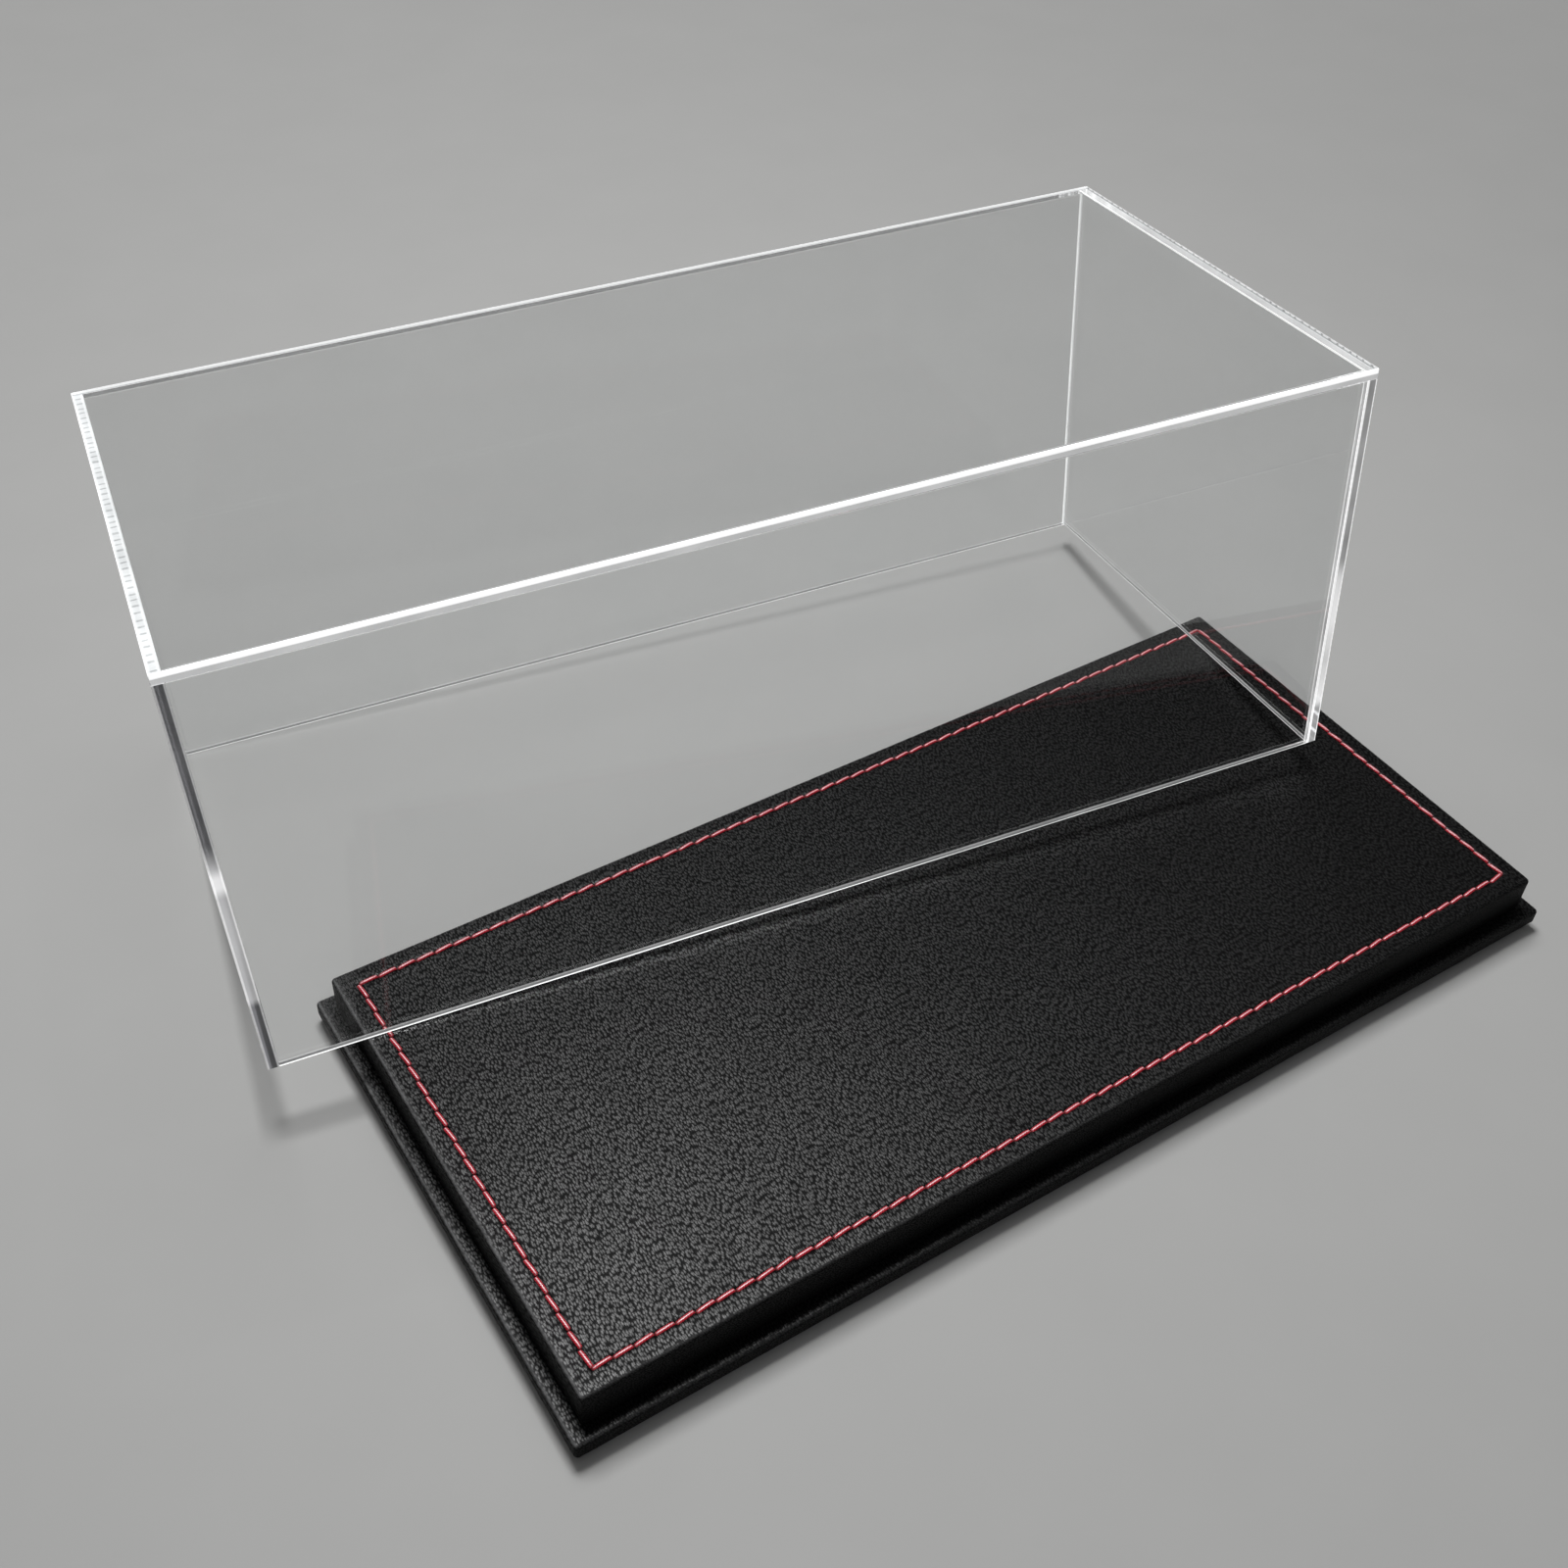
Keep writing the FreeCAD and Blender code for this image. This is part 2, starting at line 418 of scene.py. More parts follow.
def leatherShader(wire):
    place = inMillimetres(wire)
    loose = wire.add("SeparateXYZ", None, {0: place.strayed(place.noise(0.8, 2.0)["Color"], 0.4)})
    # flat pebbles on the top, where the height is fixed, and slanted ones down the sides
    slant = leather["grainSlant"]
    across = loose["X"] + slant[0] * loose["Z"]
    along = leather["grainStretch"] * loose["Y"] + slant[1] * loose["Z"]
    sheet = wire.add("CombineXYZ", None, {0: across, 1: along})
    grain, stray = leather["grain"], leather["grainStray"]
    # a pebble down to the creases round it, its crown, and a lot drawn for each pebble
    pebble = sheet.cells(grain, "DISTANCE_TO_EDGE", stray, "2D").between(0.0, 0.3)
    cell = sheet.cells(grain, "F1", stray, "2D")
    dome = 1 - cell.between(0.08, 0.6)
    lot = wire.add("SeparateColor", None, {0: cell["Color"]})["Red"]
    pore = place.noise(3.5, 3.0, 0.65)
    broad = place.noise(0.03, 3.0, 0.55)
    # rubbed edges, lighter from wear and from a painted highlight that is strongest on the left
    worn = pointValue(wire, "edgeWearHighlight") * (0.45 + 0.55 * place.noise(0.6, 4.0, 0.6).between(0.3, 0.7))
    rubbed = 0.27 + 0.56 * lot + 0.3 * broad + 0.3 * pore
    hide = (pebble * (0.6 + 0.2 * broad + 0.4 * pore)).tint(leather["dark"], leather["pale"])
    hideWithHighlight = worn.tint(hide, leather["worn"])
    return wire.add("BsdfPrincipled", None, {
        "Base Color": pointValue(wire, "seamShade").tint(hideWithHighlight, leather["hole"]),
        "Roughness": 0.66 - 0.1 * pebble,
        "Normal": (0.8 * pebble + 0.5 * dome + 0.15 * pore).bump(leather["grainDepth"], 1.0),
        "Specular IOR Level": 0.03,
        "Coat Weight": pointValue(wire, "gloss") * (0.1 + 1.17 * dome) * rubbed,
        "Coat Roughness": 0.41,
        "Coat IOR": 1.42,
    })


def sway(x, y, size):
    # a slow uneven wave over the sheet, the sum of three slanted sines
    wave = np.sin(0.031 * x + 0.044 * y + 0.4)
    wave += 0.7 * np.sin(-0.053 * x + 0.027 * y + 1.9)
    wave += 0.5 * np.sin(0.083 * x + 0.091 * y + 4.1)
    return size * wave / 2.2


def wrapProfile(low, high, middle, stitched):
    # insets, heights, the outward and upward shares of the normal, and the wear and painted highlight of
    # each row, from the middle of the sheet's inside, out and under the board to the turned-in lip, and
    # back over the outside
    thick, top, bottom = leather["thickness"], leather["topRadius"], leather["bottomRadius"]
    inside, rows = high - thick, []

    def row(inset, height, outward=0.0, upward=0.0, worn=0.0):
        rows.append((inset, height, outward, upward, worn))

    def edgeRow(inset, height, angle, worn=0.0):
        facing = math.radians(angle)
        row(inset, height, math.cos(facing), math.sin(facing), worn)

    row(middle, inside)
    if stitched:
        near, far = seam["inset"] - seam["bobbinHalf"], seam["inset"] + seam["bobbinHalf"]
        groove = seam["bobbinGroove"]
        for inset, height in ((far, 0), (far, groove), (near, groove), (near, 0)):
            row(inset, inside + height)
    for inset, height in zip(*arc(top - thick, 90, 0, 2)):
        row(thick + inset, inside + height)
    for inset, height in zip(*arc(bottom - thick, 0, 90, 2)):
        row(thick + inset, low + thick - height)
    row(leather["turnIn"], low + thick)
    for inset in (leather["turnIn"], *leather["underRows"]):
        row(inset, low, 0, -1)
    angles = np.linspace(90, 0, leather["bottomSteps"] + 1)
    for angle, inset, height in zip(angles, *arc(bottom, 90, 0, leather["bottomSteps"])):
        edgeRow(inset, low - height, -angle)
    for share in (0.25, 0.5, 0.75):
        row(0, low + bottom + share * (high - low - bottom - top), 1, 0)
    angles = np.linspace(0, 90, leather["topSteps"] + 1)
    for angle, inset, height in zip(angles, *arc(top, 0, 90, leather["topSteps"])):
        wearHighlight = math.exp(-((angle - leather["wornAngle"]) / leather["wornSpread"]) ** 2)
        edgeRow(inset, high + height, angle, wearHighlight)
    band = seam["rows"] if stitched else leather["edgeRows"]
    for inset in (*band, *leather["topRows"], middle):
        row(inset, high, 0, 1)
    return np.array(rows).T


def seamRelief(x, y, half):
    # height of the seam at each point: a shallow groove along the stitch line, a needle hole at every
    # pitch, and the sheet bulging a little on both sides between the holes; with the holes' shade
    lineX, lineY = half[0] - seam["inset"], half[1] - seam["inset"]
    nearEnds = (np.abs(x) - lineX) > (np.abs(y) - lineY)
    across = np.where(nearEnds, np.abs(x) - lineX, np.abs(y) - lineY)
    run = np.where(nearEnds, lineY, lineX)
    along = np.where(nearEnds, y, x)
    beyond = np.maximum(np.abs(along) - run, 0)
    step = 2 * run / np.round(2 * run / seam["pitch"])
    phase = (along + run) / step
    away = (phase - np.round(phase)) * step
    off = np.hypot(across, beyond)
    groove = np.exp(-(off / seam["grooveWidth"]) ** 2)
    hole = np.exp(-(away / seam["holeWidth"]) ** 2 - (off / (seam["holeStretch"] * seam["holeWidth"])) ** 2)
    ridge = np.exp(-((off - seam["bulgeAway"]) / seam["bulgeWidth"]) ** 2)
    swell = ridge * (0.5 - 0.5 * np.cos(2 * math.pi * phase))
    return seam["bulge"] * swell - seam["grooveDepth"] * groove - seam["holeDepth"] * hole, hole


def wrapLeather(name, node, finish, stitched):
    # the profile carried round the tier's rectangle, with columns at every stitch, then pushed and lifted
    low, high = boxInMillimetres(node)
    half = (high - low)[:2] / 2
    radius = leather["cornerRadius"]
    perStitch, toCorner = (seam if stitched else leather)["columns"]
    samples = []
    for size in half:
        core, line = size - radius, size - seam["inset"]
        count = int(round(2 * line / seam["pitch"])) * perStitch
        corner = np.linspace(line, core, toCorner + 1)[1:]
        samples.append(np.concatenate([-corner[::-1], np.linspace(-line, line, count + 1), corner]))
    loop = roundLoop(half, radius, samples[0], samples[1], leather["cornerSteps"])
    inset, height, outward, upward, wearHighlight = wrapProfile(low[2], high[2], half[1], stitched)
    points = carried(half, radius, loop, inset, height)
    x, y = points[..., 0], points[..., 1]

    # the mitred cuts below the corners, the slow sway above, and the seam, with painted shade in the cuts
    # and the needle holes
    offDiagonal = (half[0] - np.abs(x) - half[1] + np.abs(y)) / math.sqrt(2)
    under = ((upward < -0.99) & (inset > leather["mitreInset"]))[:, None]
    mitre = np.exp(-(offDiagonal / leather["mitreWidth"]) ** 2) * under
    onTop = ((upward > 0.99) & (inset > leather["topRadius"]))[:, None]
    lift = leather["mitreDepth"] * mitre + sway(x, y, leather["topSway"]) * onTop
    shade = leather["mitreShade"] * mitre
    if stitched:
        relief, hole = seamRelief(x, y, half)
        nearSeam = onTop & (inset < seam["reach"])[:, None]
        lift = lift + relief * nearSeam
        shade = shade + hole * nearSeam
    ripple = leather["sideRipple"]
    push = sway(ripple * x, ripple * y, leather["sideSway"]) * outward[:, None]
    points[..., :2] += push[..., None] * loop[1]
    points[..., 2] += lift

    flat = points.reshape(-1, 3)
    kept, faces = welded(flat, gridFaces(*points.shape[:2]))
    piece = newPiece(name, flat[kept] * mm, faces, [finish])
    # wear on the left-facing edges, and a painted highlight that fades to the right on the others
    share = np.maximum(-loop[1][:, 0], leather["wornElsewhere"] * (1 - x / half[0]))
    setPointValues(piece, "edgeWearHighlight", (wearHighlight[:, None] * share).reshape(-1)[kept])
    gloss = np.maximum(upward, leather["sideGloss"]) + leather["edgeGloss"] * wearHighlight
    setPointValues(piece, "gloss", np.broadcast_to(gloss[:, None], x.shape).reshape(-1)[kept])
    setPointValues(piece, "seamShade", shade.reshape(-1)[kept])
    settle(piece, "plinth", "leather", node)
    drop = (high - low)[2] + leather["turnIn"]
    cut = (2 * half + 2 * drop) * mm
    area = cut[0] * cut[1] - 4 * (drop * mm) ** 2  # a square is cut away at each corner


hideFinish = newFinish("blackLeather", leatherShader)
wrapLeather("upper_wrap", "upper_leather", hideFinish, True)
wrapLeather("lower_wrap", "lower_leather", hideFinish, False)


# Needle thread

thread = {
    "halfWidth": 0.64,
    "halfHeight": 0.42,
    "proud": 0.42,
    "dive": 0.95,
    "overlap": 0.3,            # the stitches' ends pass each other in the holes
    "taper": 0.3,
    "stations": (-1.0, -0.93, -0.8, -0.4, 0.4, 0.8, 0.93, 1.0),  # sections along a stitch
    "sides": 8,
    "seed": 18,
    "slantStray": 1.4,
    "sideStray": 0.05,
    "heightStray": 0.02,
    "plies": 3,
    "twist": 0.42,             # turns to a millimetre
    "endFade": (2.25, 2.7),    # distances from the middle over which the ends darken, with painted shade where they dive into the holes
    "crestTurn": 0.25,         # the crest is a quarter turn round the thread
    "crestFade": (0.0, 0.075),
    "hidden": (0.10, 0.0015, 0.004),
    "deep": (0.17, 0.001, 0.004),
    "bright": (0.66, 0.018, 0.042),
    "waxed": (0.96, 0.70, 0.745),
    "sheen": (1.0, 0.6, 0.6, 1),
}


def threadShader(wire):
    lay = wire.add("SeparateXYZ", None, {0: wire.add("UVMap", {"uv_map": "lay"})})
    ply = ((lay["X"] * thread["twist"] + lay["Y"]) * thread["plies"]).wave()
    place = inMillimetres(wire)
    fibre = place.noise(9.0, 3.0, 0.7)
    lot = place.noise(0.11, 2.0)
    ends = lay["X"].size().between(*thread["endFade"])
    # a painted highlight along the crest of each stitch
    offCrest = (lay["Y"] - thread["crestTurn"]).size().between(*thread["crestFade"])
    crest = (1 - offCrest) * (1 - ends)
    # darker between the plies as painted shade, and uneven in tone at random
    body = (0.5 * ply ** 0.6 + 0.3 * fibre + 0.3 * (lot - 0.1)).tint(thread["deep"], thread["bright"])
    lit = (crest * (0.5 + 0.3 * ply + 0.2 * fibre)).tint(body, thread["waxed"])
    return wire.add("BsdfPrincipled", None, {
        "Base Color": (0.85 * ends).tint(lit, thread["hidden"]),
        "Roughness": 0.34 + 0.14 * fibre,
        "Normal": (ply + 0.3 * fibre).bump(0.06, 0.6),
        "Specular IOR Level": 0.6,
        "Coat Weight": 0.4,
        "Coat Roughness": 0.22,
        "Sheen Weight": 0.3,
        "Sheen Roughness": 0.35,
        "Sheen Tint": thread["sheen"],
    })


def sewStitches():
    # stitches spaced evenly between the corners, each turned by the slant and a little stray
    low, high = boxInMillimetres("upper_leather")
    half = (high - low)[:2] / 2 - seam["inset"]
    top = high[2]
    holes = half * np.array([(-1, -1), (1, -1), (1, 1), (-1, 1)])
    middles, headings, spans = [], [], []
    for start, end in zip(holes, np.roll(holes, -1, axis=0)):
        run = end - start
        count = int(round(np.hypot(*run) / seam["pitch"]))
        middles.append(start + run * ((np.arange(count) + 0.5) / count)[:, None])
        headings.append(np.full(count, math.atan2(run[1], run[0])))
        spans.append(np.full(count, np.hypot(*run) / count))
    middle, heading, span = (np.concatenate(v) for v in (middles, headings, spans))
    hand = np.random.default_rng(thread["seed"])
    stray = hand.normal(0, 1, (3, len(middle)))
    heading = heading + np.radians(seam["slant"] + thread["slantStray"] * stray[0])

    # a stitch: an oval section carried along a low arch whose two ends dive into the needle holes
    rings, sides = len(thread["stations"]), thread["sides"]
    s = np.array(thread["stations"])[None, :, None]
    t = np.linspace(0, 2 * math.pi, sides, endpoint=False)[None, None, :]
    reach = (span[:, None, None] + thread["overlap"]) / 2
    slim = 1 - thread["taper"] * s ** 6
    along = s * reach
    across = thread["halfWidth"] * slim * np.cos(t) + thread["sideStray"] * stray[1][:, None, None]
    uneven = thread["heightStray"] * np.tanh(stray[2])[:, None, None]
    crest = thread["proud"] - thread["halfHeight"] + uneven
    rise = crest - thread["dive"] * np.abs(s) ** 9 + thread["halfHeight"] * slim * np.sin(t)
    along, across, rise = np.broadcast_arrays(along, across, rise)
    cos, sin = np.cos(heading)[:, None, None], np.sin(heading)[:, None, None]
    points = np.stack([
        middle[:, 0, None, None] + along * cos - across * sin,
        middle[:, 1, None, None] + along * sin + across * cos,
        top + rise,
    ], axis=-1)

    one = gridFaces(rings, sides)
    shift = rings * sides * np.arange(len(middle))[:, None, None]
    quads = (one + shift).reshape(-1, 4)
    column = np.arange(sides)
    caps = np.array([column[::-1], column + (rings - 1) * sides])
    caps = (caps + shift).reshape(-1, sides)
    finish = newFinish("redThread", threadShader)
    faces = quads.tolist() + caps.tolist()
    piece = newPiece("needle_stitches", points.reshape(-1, 3) * mm, faces, [finish])

    # the map runs along the stitch in millimetres, and once round it
    ring, side = one // sides, one % sides
    closing = side.max(axis=1, keepdims=True) == sides - 1
    side = np.where((side == 0) & closing, sides, side)
    length = along[:, :, 0][:, ring]
    around = np.broadcast_to(side / sides, length.shape)
    lay = np.stack([length, around], axis=-1).reshape(-1, 2)
    setLay(piece, np.concatenate([lay, np.zeros((caps.size, 2))]))
    settle(piece, "plinth", "needle_thread", "needle_thread")


sewStitches()


# Clear cover

cover = {
    "arris": 0.25,
    "arrisSteps": 3,
    "weld": 0.02,              # how far bonded sheets run into each other
    "bonded": ("weld", "bond", "seal", "ground", "clear"),  # finishes of the edges where they do
    "clear": (0.945, 0.95, 0.95),
    "smeared": (0.93, 0.94, 0.94),
    "bend": 1.49,              # refraction of the sheet
    "gloss": (0.35, 0.35, 0.35, 1),  # reflections of the faces
    "clearShadow": 0.988,      # light that a lamp's ray keeps through one face
    "edgeShadow": 0.8,         # and through an edge
    "rimShadow": 0.15,         # and through the rim
    "white": (0.95, 0.965, 0.97),
    "cut": (0.62, 0.64, 0.65),
    "cutDim": (0.16, 0.17, 0.175),
    "smoky": (0.34, 0.35, 0.37),
    # tones of the front uprights: painted dark reflections
    "leftSmoke": (0.022, 0.022, 0.025),
    "rightSmoke": (0.3, 0.31, 0.33),
    "smokeRise": (86.0, 95.0),  # heights over which the front uprights turn to their dark painted reflection above
    "rimRise": (41.5, 44.5),    # and those under which they show it again, at the rim
    "glintRise": 82.5,
    "spreadFade": (-70.0, 30.0),   # places along the rim between which the painted glow on its near arris narrows
    "nearLine": (-1.15, -0.75),    # across an edge, where its arrises fade into its middle
    "farLine": (0.9, 1.25),
    "gathered": 0.85,          # painted glow of the edges, standing in for light that the sheet gathers
    "markPitch": 3.1,
    "markDrift": 1.6,
}


def letLight(wire, surface, share):  # a lamp's rays go on through the surface, keeping that share
    passing = wire.add("BsdfTransparent", None, {"Color": (share, share, share, 1)})
    fromLamp = wire.add("LightPath")["Is Shadow Ray"]
    return wire.add("MixShader", None, {0: fromLamp, 1: surface, 2: passing})


def clearShader(wire):
    smear = inMillimetres(wire).noise(0.03, 4.0, 0.6).between(0.45, 0.8)
    pane = wire.add("BsdfPrincipled", None, {
        "Base Color": smear.tint(cover["clear"], cover["smeared"]),
        "Roughness": 0.0035 * smear,
        "IOR": cover["bend"],
        "Specular Tint": cover["gloss"],
        "Transmission Weight": 1.0,
    })
    return letLight(wire, pane, cover["clearShadow"])


def edgeMarks(wire):
    # the height across an edge, its fine saw marks, and slow patches along it
    lay = wire.add("UVMap", {"uv_map": "lay"})
    fine = lay.stretched((1.4, 0.5, 1.0)).noise(1.0, 3.0, 0.7)
    patch = lay.stretched((0.045, 0.05, 1.0)).noise(1.0, 2.0)
    return wire.add("SeparateXYZ", None, {0: lay})["Y"], fine, patch


def cutterMarks(wire):
    # a mark at every pitch along an edge, drifting a little
    lay = wire.add("UVMap", {"uv_map": "lay"})
    along = wire.add("SeparateXYZ", None, {0: lay})["X"]
    drift = lay.stretched((0.11, 0.0, 1.0)).noise(1.0, 1.0)
    return (along * (1 / cover["markPitch"]) + cover["markDrift"] * drift).wave().between(0.72, 1.0)


def sawnShader(base, marks, dim, rise):
    # a cut edge: how white it is, in its own colour and as a painted glow, the strength of its cutter
    # marks, and how dim it is below that rise
    def build(wire):
        height, fine, patch = edgeMarks(wire)
        core = 1 - height.size().between(0.5, 1.1)
        # the edge is dimmer below the rise
        belowRise = 1 - height.between(rise - 0.35, rise)
        cuts = marks * (cutterMarks(wire) * (0.3 + 1.4 * fine) + 0.8 * fine)
        white = (base + 0.8 * patch - core * cuts) * (1 - dim * belowRise)
        edge = wire.add("BsdfPrincipled", None, {
            "Base Color": white.tint(cover["cutDim"], cover["cut"]),
            "Roughness": 0.28 + 0.25 * fine,
            "Normal": (fine + cuts).bump(0.05, 0.6),
            "IOR": cover["bend"],
            "Emission Color": white.grey(),
            "Emission Strength": cover["gathered"],
        })
        return letLight(wire, edge, cover["edgeShadow"])
    return build


def clearEdge(wire, colour, roughness, fine, clearness, white, keeps):
    # a polished edge with fine marks, which lets light through and has a painted glow where it is white
    edge = wire.add("BsdfPrincipled", None, {
        "Base Color": colour,
        "Roughness": roughness,
        "Normal": fine.bump(0.02, 0.3),
        "IOR": cover["bend"],
        "Specular Tint": cover["gloss"],
        "Transmission Weight": clearness,
        "Emission Color": white.grey(),
        "Emission Strength": cover["gathered"],
    })
    return letLight(wire, edge, keeps)


def polishedShader(wire):  # the back left upright: clear, smoky in places, with faint arrises that have a painted glow
    height, fine, patch = edgeMarks(wire)
    line = height.size().between(0.95, 1.25)
    colour = patch.between(0.4, 0.62).tint(cover["smoky"], cover["white"])
    white = line * (0.2 + 0.3 * fine)
    return clearEdge(wire, colour, 0.03 + 0.1 * line, fine, 1.0, white, cover["edgeShadow"])


def uprightShader(reflectionTone, patchyGleam, gleam, glint, lines):
    # a front upright with painted reflections: dark above and at the rim, gleaming between, with a glint
    # where that begins
    def build(wire):
        height, fine, patch = edgeMarks(wire)
        rise = wire.add("SeparateXYZ", None, {0: inMillimetres(wire)})["Z"]
        lit = rise.between(*cover["rimRise"]) * (1 - rise.between(*cover["smokeRise"]))
        spot = 1 - (rise - cover["glintRise"]).size().between(1.0, 5.0)
        arrises = (1 - height.between(*cover["nearLine"])) + height.between(*cover["farLine"])
        # a painted gleam, patches and glint standing in for reflections, given out as glow
        middle = patchyGleam * patch + gleam * lit * (0.7 + 0.4 * patch) + glint * spot
        white = lines * arrises * (0.75 + 0.5 * fine) + middle
        roughness = 0.04 + 0.2 * white
        return clearEdge(wire, reflectionTone + (1,), roughness, fine, 1.0, white, cover["edgeShadow"])
    return build


def frostedShader(milk, near, far, keeps=cover["edgeShadow"], spread=0.0):
    # how white an edge is in the middle and along its arrises on either side, as frost and as a painted
    # glow, the light that it lets by, and how much wider the near arris is towards the left
    def build(wire):
        height, fine, patch = edgeMarks(wire)
        place = wire.add("SeparateXYZ", None, {0: inMillimetres(wire)})
        leftward = 1 - place["X"].between(*cover["spreadFade"])
        nearLine = 1 - (height - spread * leftward).between(*cover["nearLine"])
        farLine = height.between(*cover["farLine"])
        middle = milk * (0.1 + 1.4 * patch + 0.4 * fine)
        lines = (near * nearLine + far * farLine) * (0.75 + 0.5 * fine)
        white = lines + (1 - nearLine) * middle
        roughness = 0.05 + 0.3 * white
        return clearEdge(wire, cover["white"] + (1,), roughness, fine, 1.0 - 0.6 * milk, white, keeps)
    return build


def widestNormal(node, like):
    # the mean normal of a panel's broad faces, on the side that looks along a given direction
    mesh = frame["nodes"][node].data
    normals, areas = np.zeros(3 * len(mesh.polygons)), np.zeros(len(mesh.polygons))
    mesh.polygons.foreach_get("normal", normals)
    mesh.polygons.foreach_get("area", areas)
    normals = normals.reshape(-1, 3)
    facing = normals[np.argmax(areas * (normals @ like > 0.5))]
    broad = normals @ facing > 0.999
    mean = (normals[broad] * areas[broad, None]).sum(axis=0)
    return mean / np.linalg.norm(mean)


def slabPanel(name, node, axes, thin, edges, finishes):
    # a sheet of acrylic: a profile with a rounded arris at each face carried round the sheet's rectangle;
    # its edges are given by direction with their finish, and a welded one runs a little into the next sheet
    mesh = frame["nodes"][node].data
    points = np.zeros(3 * len(mesh.vertices))
    mesh.vertices.foreach_get("co", points)
    own = points.reshape(-1, 3) @ axes.T / mm
    ways = np.array([way for way, finish in edges])
    welds = np.array([way for way, finish in edges if finish in cover["bonded"]]).reshape(-1, 3)
    low = own.min(axis=0) - cover["weld"] * (welds < 0).any(axis=0)
    high = own.max(axis=0) + cover["weld"] * (welds > 0).any(axis=0)
    order = [(thin + 1) % 3, (thin + 2) % 3, thin]
    middle, half = (low + high) / 2, (high - low) / 2
    wide = half[order[:2]]
    arris, steps = cover["arris"], cover["arrisSteps"]
    sides = [np.array([-1.0, 1.0]) * (size - arris) for size in wide]
    loop = roundLoop(wide, arris, sides[0], sides[1], steps)
    inset, drop = arc(arris, 90, 0, steps)
    insets = np.concatenate([inset, inset[::-1]])
    heights = np.concatenate([-half[thin] - drop, half[thin] + drop[::-1]])
    grid = carried(wide, arris, loop, insets, heights)
    rows, columns = grid.shape[:2]
    local = np.zeros((rows * columns, 3))
    local[:, order] = grid.reshape(-1, 3)
    quads = gridFaces(rows, columns)
    ends = np.array([np.arange(columns)[::-1], np.arange(columns) + (rows - 1) * columns])
    used = ["clear"] + sorted({finish for way, finish in edges} - {"clear"})
    coats = [finishes[finish] for finish in used]
    faces = quads.tolist() + ends.tolist()
    piece = newPiece(name, (local + middle) @ axes * mm, faces, coats, smooth=False)

    # each edge takes its finish from the direction that it faces, and the broad faces are clear
    facing = loop[1] + np.roll(loop[1], -1, axis=0)
    nearest = np.argmax(facing @ ways[:, order[:2]].T, axis=1)
    coat = np.array([used.index(finish) for way, finish in edges])[nearest]
    piece.data.polygons.foreach_set("material_index", np.concatenate([np.tile(coat, rows - 1), [0, 0]]))

    # the map runs along the edges and across them, and over the faces, in millimetres
    step = np.linalg.norm(np.diff(grid[2, :, :2], axis=0, append=grid[2, :1, :2]), axis=1)
    travel = np.concatenate([[0], np.cumsum(step)])
    column = np.arange(columns)
    around = travel[np.stack([column, column + 1, column + 1, column], axis=1)]
    around = np.broadcast_to(around, (rows - 1, columns, 4))
    up = heights[np.arange(rows - 1)[:, None, None] + np.array([0, 0, 1, 1])]
    up = np.broadcast_to(up, around.shape)
    faceMap = grid.reshape(-1, 3)[ends][..., :2].reshape(-1, 2)
    setLay(piece, np.concatenate([np.stack([around, up], axis=-1).reshape(-1, 2), faceMap]))
    settle(piece, "cover", "acrylic", node)


def bondCover():
    # the front uprights carry painted reflections: a dark tone, a gleam and a glint
    darkReflectionUpright = uprightShader(cover["leftSmoke"], patchyGleam=0.05, gleam=0.35, glint=0.45, lines=0.35)
    greyReflectionUpright = uprightShader(cover["rightSmoke"], patchyGleam=0.66, gleam=0.46, glint=0.0, lines=0.9)
    rimEdge = frostedShader(milk=0.12, near=1.2, far=0.1, keeps=cover["rimShadow"], spread=0.55)
    finishes = {
        "clear": newFinish("clearAcrylic", clearShader),
        "sawn": newFinish("sawnEdge", sawnShader(base=0.42, marks=0.45, dim=0.75, rise=-0.5)),
        "planed": newFinish("planedEdge", sawnShader(base=0.75, marks=0.0, dim=0.6, rise=0.3)),
        "plain": newFinish("plainEdge", sawnShader(base=0.95, marks=0.0, dim=0.65, rise=-0.5)),
        "ground": newFinish("groundEnd", sawnShader(base=0.16, marks=0.24, dim=0.0, rise=-1.0)),
        "polished": newFinish("polishedEdge", polishedShader),
        # the front uprights' finishes are painted reflections
        "smoky": newFinish("darkReflectionUpright", darkReflectionUpright),
        "milky": newFinish("greyReflectionUpright", greyReflectionUpright),
        "rim": newFinish("rimEdge", rimEdge),
        "faint": newFinish("faintEdge", frostedShader(milk=0.10, near=0.8, far=0.1)),
        "weld": newFinish("weldedFace", frostedShader(milk=0.40, near=0.9, far=0.2)),
        "bond": newFinish("bondedFace", frostedShader(milk=0.25, near=0.2, far=0.2)),
        "seal": newFinish("sealedFace", frostedShader(milk=0.12, near=0.1, far=0.1)),
    }
    up = widestNormal("cover_top", (0, 0, 1))
    along = widestNormal("cover_right", (1, 0, 0))
    axes = np.stack([along, np.cross(up, along), up])
    right, left = (1, 0, 0), (-1, 0, 0)
    back, front = (0, 1, 0), (0, -1, 0)
    above, below = (0, 0, 1), (0, 0, -1)
    panels = {  # the axis that each is thin along, and the finishes of its edges
        "top": (2, {front: "planed", right: "sawn", back: "plain", left: "sawn"}),
        "left": (0, {above: "ground", below: "rim", front: "smoky", back: "polished"}),
        "right": (0, {above: "weld", below: "rim", front: "milky", back: "faint"}),
        "front": (1, {above: "bond", below: "rim", left: "clear", right: "weld"}),
        "back": (1, {above: "seal", below: "faint", left: "clear", right: "bond"}),
    }
    for side, (thin, edges) in panels.items():
        slabPanel(side + "_panel", "cover_" + side, axes, thin, list(edges.items()), finishes)


bondCover()


# Underside

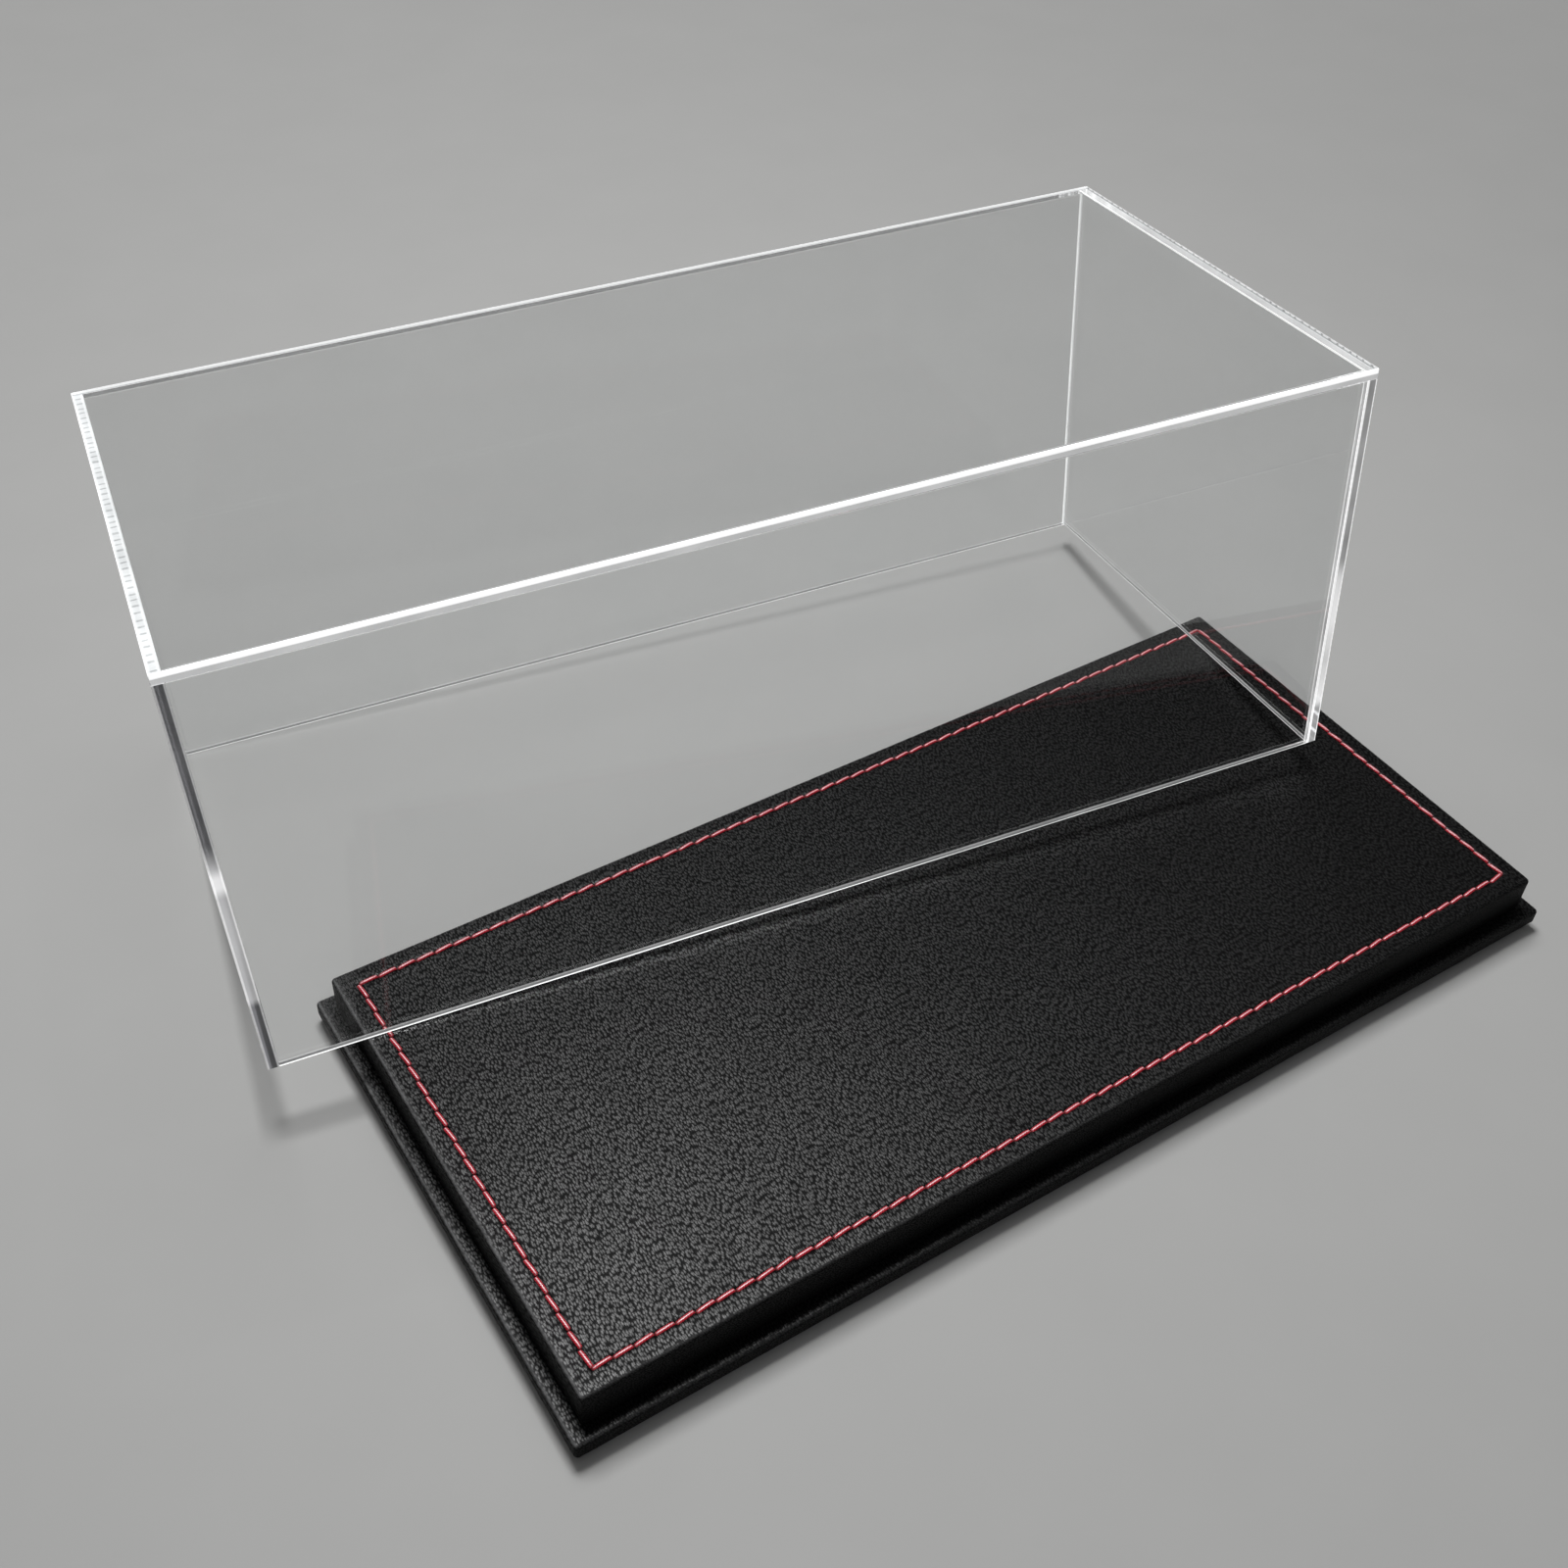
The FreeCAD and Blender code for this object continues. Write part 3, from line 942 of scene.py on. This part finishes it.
foot = {
    "sides": 40,
    "edgeRadius": 0.8,
    "edgeSteps": 5,
    "rim": 0.2,                # softened upper edge
    "rimSteps": 3,
    "dish": 0.15,              # hollow in the middle of the tread
    "dishRadius": 2.6,
    "dishRows": 5,
    "dark": (0.012, 0.012, 0.013),
    "dusty": (0.045, 0.044, 0.042),
}
felt = {
    "edgeRadius": 0.3,
    "edgeSteps": 3,
    "rows": (50, 40, 30, 20, 10, 4),  # rows of points by their inset
    "columns": (61, 25),              # along its length and its width
    "sway": 0.06,
    "swayRate": (0.19, 0.23),
    "swayShift": 0.8,
    "dark": (0.010, 0.010, 0.011),
    "pale": (0.038, 0.038, 0.040),
}


def rubberShader(wire):
    place = inMillimetres(wire)
    dust = place.noise(0.9, 4.0, 0.65).between(0.45, 0.8)
    speck = place.noise(7.0, 2.0)
    return wire.add("BsdfPrincipled", None, {
        "Base Color": (0.7 * dust + 0.2 * speck).tint(foot["dark"], foot["dusty"]),
        "Roughness": 0.62 + 0.2 * dust,
        "Normal": speck.bump(0.03, 0.5),
    })


def feltShader(wire):
    place = inMillimetres(wire)
    tangle = place.strayed(place.noise(1.1, 2.0)["Color"], 1.6)
    fibre = tangle.stretched((1.0, 5.0, 1.0)).noise(1.6, 4.0, 0.75)
    crossed = tangle.stretched((5.0, 1.0, 1.0)).noise(1.6, 4.0, 0.75)
    return wire.add("BsdfPrincipled", None, {
        "Base Color": (0.9 * fibre + 0.9 * crossed - 0.4).tint(felt["dark"], felt["pale"]),
        "Roughness": 0.95,
        "Normal": (fibre + crossed).bump(0.2, 0.8),
        "Specular IOR Level": 0.1,
        "Sheen Weight": 0.5,
        "Sheen Roughness": 0.6,
    })


def turnFoot(node, finish):
    # a profile turned about the foot's axis: dished tread, round lower edge, straight side, soft upper edge
    low, high = boxInMillimetres(node)
    centre, height = (low + high)[:2] / 2, (high - low)[2]
    radius = (high - low)[0] / 2
    treadInset, treadRise = arc(foot["edgeRadius"], 90, 0, foot["edgeSteps"])
    rimInset, rimRise = arc(foot["rim"], 0, 90, foot["rimSteps"])
    dish = np.linspace(0, foot["dishRadius"], foot["dishRows"])
    hollow = foot["dish"] * (0.5 + 0.5 * np.cos(math.pi * dish / foot["dishRadius"]))
    out = np.concatenate([dish, radius - treadInset, radius - rimInset, [0]])
    rise = np.concatenate([hollow, -treadRise, height + rimRise, [height]])
    flat = out[:, None, None] * unitRound(foot["sides"]) + centre
    levels = np.broadcast_to(low[2] + rise[:, None], flat.shape[:2])
    points = np.dstack([flat, levels]).reshape(-1, 3)
    kept, faces = welded(points, gridFaces(*flat.shape[:2]))
    piece = newPiece(node + "_pad", points[kept] * mm, faces, [finish])
    settle(piece, "plinth", "foot_rubber", node)


def layFelt():
    # a thin sheet with a round edge, from the middle of its underside to the middle of its top;
    # crossed sines make it a little uneven below
    low, high = boxInMillimetres("underside_felt")
    half = (high - low)[:2] / 2
    radius, steps = felt["edgeRadius"], felt["edgeSteps"]
    spread = np.array([half[1], *felt["rows"]])
    rim, drop = arc(radius, 90, 0, steps)
    insets = np.concatenate([spread, rim, rim[::-1], spread[::-1]])
    under, over = np.full(len(spread), low[2]), np.full(len(spread), high[2])
    heights = np.concatenate([under, low[2] - drop, high[2] + drop[::-1], over])
    sides = [np.linspace(-1, 1, count) * (size - radius) for size, count in zip(half, felt["columns"])]
    loop = roundLoop(half, radius, sides[0], sides[1], steps)
    points = carried(half, radius, loop, insets, heights)
    below = (np.arange(len(insets)) < len(spread))[:, None]
    waveX = np.sin(felt["swayRate"][0] * points[..., 0])
    waveY = np.sin(felt["swayRate"][1] * points[..., 1] + felt["swayShift"])
    points[..., 2] += felt["sway"] * below * (1 + waveX * waveY)
    flat = points.reshape(-1, 3)
    kept, faces = welded(flat, gridFaces(*points.shape[:2]))
    finish = newFinish("blackFelt", feltShader)
    piece = newPiece("felt_sheet", flat[kept] * mm, faces, [finish])
    settle(piece, "plinth", "felt", "underside_felt")


rubber = newFinish("footRubber", rubberShader)
for row in ("front", "back"):
    for end in ("left", "right"):
        turnFoot("foot_" + row + "_" + end, rubber)
layFelt()


# Finishes of the pieces inside

inner = {
    "boardDark": (0.13, 0.075, 0.038),
    "boardPale": (0.30, 0.19, 0.105),
    "zincDark": (0.42, 0.42, 0.40),
    "zincPale": (0.66, 0.66, 0.65),
    "bobbinDark": (0.09, 0.003, 0.006),
    "bobbinPale": (0.36, 0.014, 0.022),
}


def boardShader(wire):
    place = inMillimetres(wire)
    chip = place.stretched((1.0, 1.0, 2.5)).noise(0.9, 5.0, 0.7)
    lump = place.noise(0.12, 3.0)
    return wire.add("BsdfPrincipled", None, {
        "Base Color": (1.1 * chip + 0.5 * lump - 0.35).tint(inner["boardDark"], inner["boardPale"]),
        "Roughness": 0.80 + 0.1 * chip,
        "Normal": chip.bump(0.1, 0.6),
        "Specular IOR Level": 0.2,
    })


def zincShader(wire):
    place = inMillimetres(wire)
    spangle = place.cells(1.8)["Color"].noise(1.0, 1.0)
    scratch = place.stretched((1.0, 1.0, 9.0)).noise(1.4, 3.0, 0.6)
    return wire.add("BsdfPrincipled", None, {
        "Base Color": (0.7 * spangle + 0.4 * scratch).tint(inner["zincDark"], inner["zincPale"]),
        "Metallic": 1.0,
        "Roughness": 0.28 + 0.2 * scratch,
        "Normal": scratch.bump(0.02, 0.5),
    })


def bobbinShader(wire):
    place = inMillimetres(wire)
    axes = wire.add("SeparateXYZ", None, {0: place})
    ply = ((axes["X"] + axes["Y"] + 1.5 * axes["Z"]) * 0.9).wave()
    fibre = place.noise(8.0, 3.0, 0.7)
    return wire.add("BsdfPrincipled", None, {
        # darker between the plies as painted shade, and uneven in tone at random
        "Base Color": (0.7 * ply + 0.3 * fibre).tint(inner["bobbinDark"], inner["bobbinPale"]),
        "Roughness": 0.45 + 0.2 * fibre,
        "Normal": (ply + 0.3 * fibre).bump(0.08, 0.7),
    })


def finishInside():
    for finish, nodes in (
        (newFinish("fibreboard", boardShader), ("lower_board", "upper_board")),
        (newFinish("zincScrew", zincShader), ("tier_screws",)),
        (newFinish("redBobbin", bobbinShader), ("bobbin_thread",)),
    ):
        for node in nodes:
            for place in frame["nodes"][node].material_slots:
                place.material = finish


finishInside()
print("inner finishes set")
